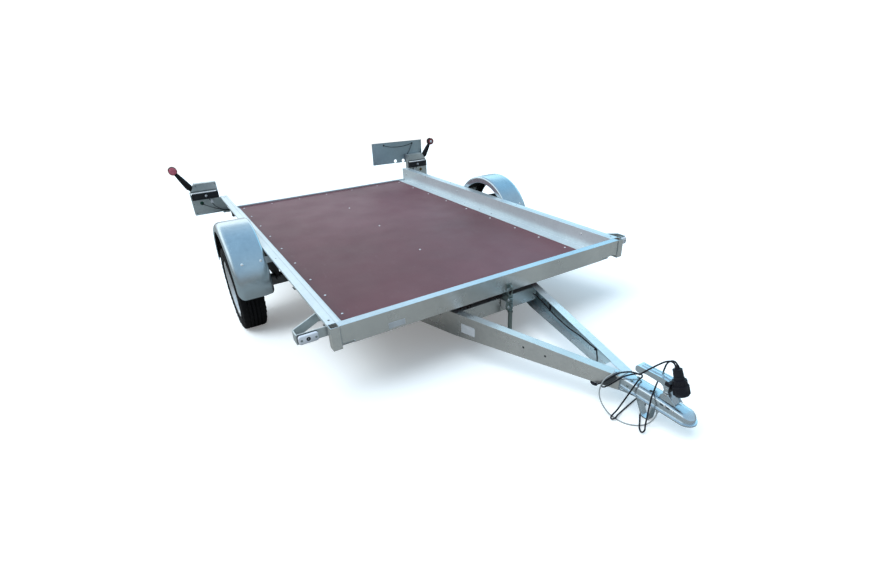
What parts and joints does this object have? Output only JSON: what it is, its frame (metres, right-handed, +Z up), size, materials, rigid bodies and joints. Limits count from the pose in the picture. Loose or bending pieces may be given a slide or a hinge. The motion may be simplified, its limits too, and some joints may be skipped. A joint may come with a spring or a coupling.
{
  "type": "tilting flatbed trailer",
  "caption": "Galvanised single-axle trailer with a flat plywood bed that tips on a V drawbar, ball coupling, steel mudguards and lamps.",
  "frame": {"origin": "on the floor under the middle of the trailer's box, standing on its wheels and coupling foot", "axes": "+Z up, -Y towards the coupling, +X towards the trailer's left side"},
  "size_m": [2.3938, 3.7442, 1.0247],
  "materials": {
    "galvanised_sheet": "hot-dip galvanised, satin with faint spangle",
    "galvanised_beam": "hot-dip galvanised, dull satin",
    "zinc_plated": "bright zinc plated",
    "axle_black": "black coated",
    "film_plywood": "phenolic film faced",
    "tyre": "ribbed tread",
    "rim_silver": "silver painted",
    "black_rubber": "soft black rubber",
    "black_plastic": "fine textured",
    "lamp_lens": "clear red and amber lens",
    "white_lens": "clear white lens",
    "cable_black": "smooth jacket",
    "cable_grey": "coated steel wire"
  },
  "bodies": {
    "drawbar": {"drawbar_beam_right": "galvanised_beam", "drawbar_beam_left": "galvanised_beam", "drawbar_cross_member": "galvanised_beam", "drawbar_gusset": "galvanised_beam", "drawbar_hinge_tube": "galvanised_beam", "coupling_head": "zinc_plated", "coupling_foot": "galvanised_beam", "coupling_handle": "zinc_plated", "latch_rod": "galvanised_beam", "latch_body": "galvanised_beam", "plug": "black_plastic", "plug_holder": "black_plastic", "plug_lead_left": "cable_black", "plug_lead_right": "cable_black", "breakaway_wire": "cable_grey", "breakaway_anchor": "zinc_plated", "lead_in_beam_left": "cable_black", "lead_in_beam_right": "cable_black", "cable_clips": "black_plastic"},
    "bed": {"arm_lamps": "black_rubber", "axle_arms": "axle_black", "axle_pads": "galvanised_beam", "axle_tube": "axle_black", "bed_bearers": "galvanised_beam", "chassis_rail_left": "galvanised_beam", "chassis_rail_right": "galvanised_beam", "corner_pockets": "galvanised_sheet", "front_cross_member": "galvanised_sheet", "front_marker_lamps": "white_lens", "hinge_lugs": "galvanised_beam", "hinge_pin": "galvanised_beam", "lamp_box_left": "galvanised_sheet", "lamp_box_right": "galvanised_sheet", "latch_staple": "galvanised_beam", "marker_brackets": "galvanised_sheet", "mudguard_left": "galvanised_sheet", "mudguard_right": "galvanised_sheet", "mudguard_stays": "galvanised_sheet", "number_plate_board": "galvanised_sheet", "plywood_deck": "film_plywood", "rear_cross_member": "galvanised_sheet", "rear_lamps": "lamp_lens", "side_rail_left": "galvanised_sheet", "side_rail_right": "galvanised_sheet"},
    "wheel_right": {"tyre_right": "tyre", "rim_right": "rim_silver", "hub_right": "rim_silver"},
    "wheel_left": {"tyre_left": "tyre", "rim_left": "rim_silver", "hub_left": "rim_silver"}
  },
  "joints": [
    {"name": "bed_tilt", "type": "hinge", "parent": "drawbar", "child": "bed", "pos_m": [0, 0.32233, 0.33234], "axis": [-1, 0, 0], "range_deg": [0, 14]},
    {"name": "wheel_right_spin", "type": "hinge", "parent": "bed", "child": "wheel_right", "pos_m": [-1.008, 0.58761, 0.268], "axis": [1, 0, 0], "continuous": true},
    {"name": "wheel_left_spin", "type": "hinge", "parent": "bed", "child": "wheel_left", "pos_m": [1.008, 0.58761, 0.268], "axis": [1, 0, 0], "continuous": true}
  ]
}
